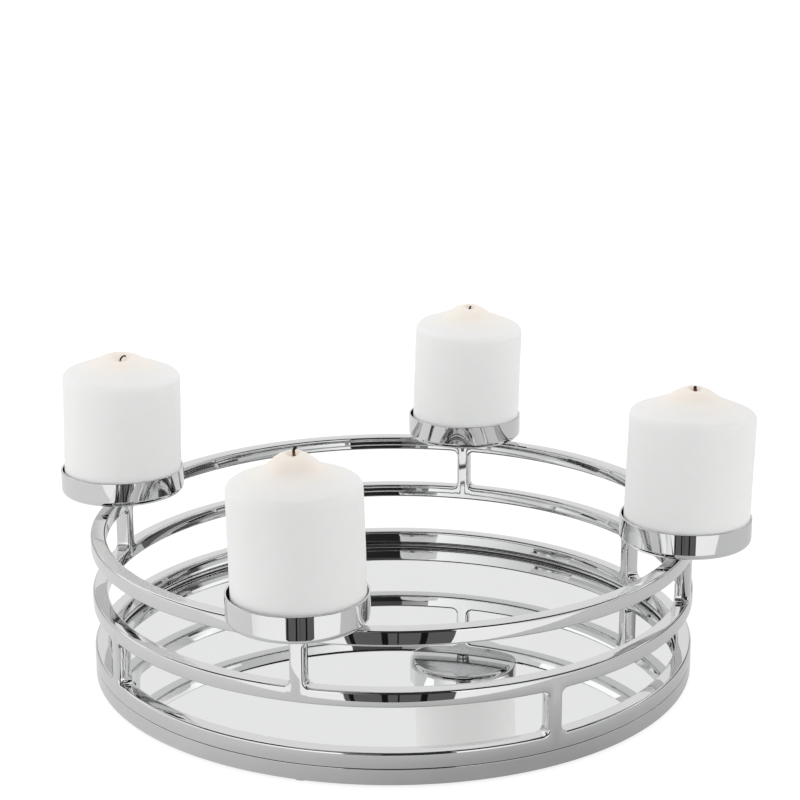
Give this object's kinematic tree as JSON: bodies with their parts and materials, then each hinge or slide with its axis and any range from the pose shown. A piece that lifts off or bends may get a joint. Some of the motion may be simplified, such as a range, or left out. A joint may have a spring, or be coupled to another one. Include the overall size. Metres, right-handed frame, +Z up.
{
  "type": "advent wreath",
  "caption": "Round candle holder of polished metal rings on short posts over a mirror tray, with pillar candles in shallow cups on the top ring.",
  "frame": {"origin": "on the wreath's axis, at the surface that it stands on", "axes": "+Z up along the wreath's axis; -Y towards cup 1, the front one, and +X towards cup 2"},
  "size_m": [0.474, 0.474, 0.2047],
  "materials": {
    "polished_metal": "mirror-polished nickel plate",
    "screw_steel": "plain steel screws",
    "mirror_glass": "clear mirror",
    "backing_board": "dark pressed board",
    "felt": "black felt pads",
    "candle_wax": "white paraffin wax, slightly waxy sheen",
    "burnt_wick": "charred cotton"
  },
  "bodies": {
    "holder": {"top_rail": "polished_metal", "middle_rail": "polished_metal", "bottom_rail": "polished_metal", "base_ring": "polished_metal", "upper_post_1": "polished_metal", "upper_post_2": "polished_metal", "upper_post_3": "polished_metal", "upper_post_4": "polished_metal", "lower_post_1": "polished_metal", "lower_post_2": "polished_metal", "lower_post_3": "polished_metal", "lower_post_4": "polished_metal", "cup_spacer_1": "polished_metal", "cup_spacer_2": "polished_metal", "cup_spacer_3": "polished_metal", "cup_spacer_4": "polished_metal", "candle_cup_1": "polished_metal", "candle_cup_2": "polished_metal", "candle_cup_3": "polished_metal", "candle_cup_4": "polished_metal", "cup_screw_1": "screw_steel", "cup_screw_2": "screw_steel", "cup_screw_3": "screw_steel", "cup_screw_4": "screw_steel", "base_screw_1": "screw_steel", "base_screw_2": "screw_steel", "base_screw_3": "screw_steel", "base_screw_4": "screw_steel", "mirror_plate": "mirror_glass", "base_board": "backing_board", "felt_foot_1": "felt", "felt_foot_2": "felt", "felt_foot_3": "felt", "felt_foot_4": "felt"},
    "front_candle": {"candle_1": "candle_wax", "wick_1": "burnt_wick"},
    "right_candle": {"candle_2": "candle_wax", "wick_2": "burnt_wick"},
    "rear_candle": {"candle_3": "candle_wax", "wick_3": "burnt_wick"},
    "left_candle": {"candle_4": "candle_wax", "wick_4": "burnt_wick"}
  },
  "joints": [
    {"name": "front_candle_lift", "type": "slide", "parent": "holder", "child": "front_candle", "axis": [0, 0, 1], "range_m": [0, 0.11]},
    {"name": "right_candle_lift", "type": "slide", "parent": "holder", "child": "right_candle", "axis": [0, 0, 1], "range_m": [0, 0.11]},
    {"name": "rear_candle_lift", "type": "slide", "parent": "holder", "child": "rear_candle", "axis": [0, 0, 1], "range_m": [0, 0.11]},
    {"name": "left_candle_lift", "type": "slide", "parent": "holder", "child": "left_candle", "axis": [0, 0, 1], "range_m": [0, 0.11]}
  ]
}
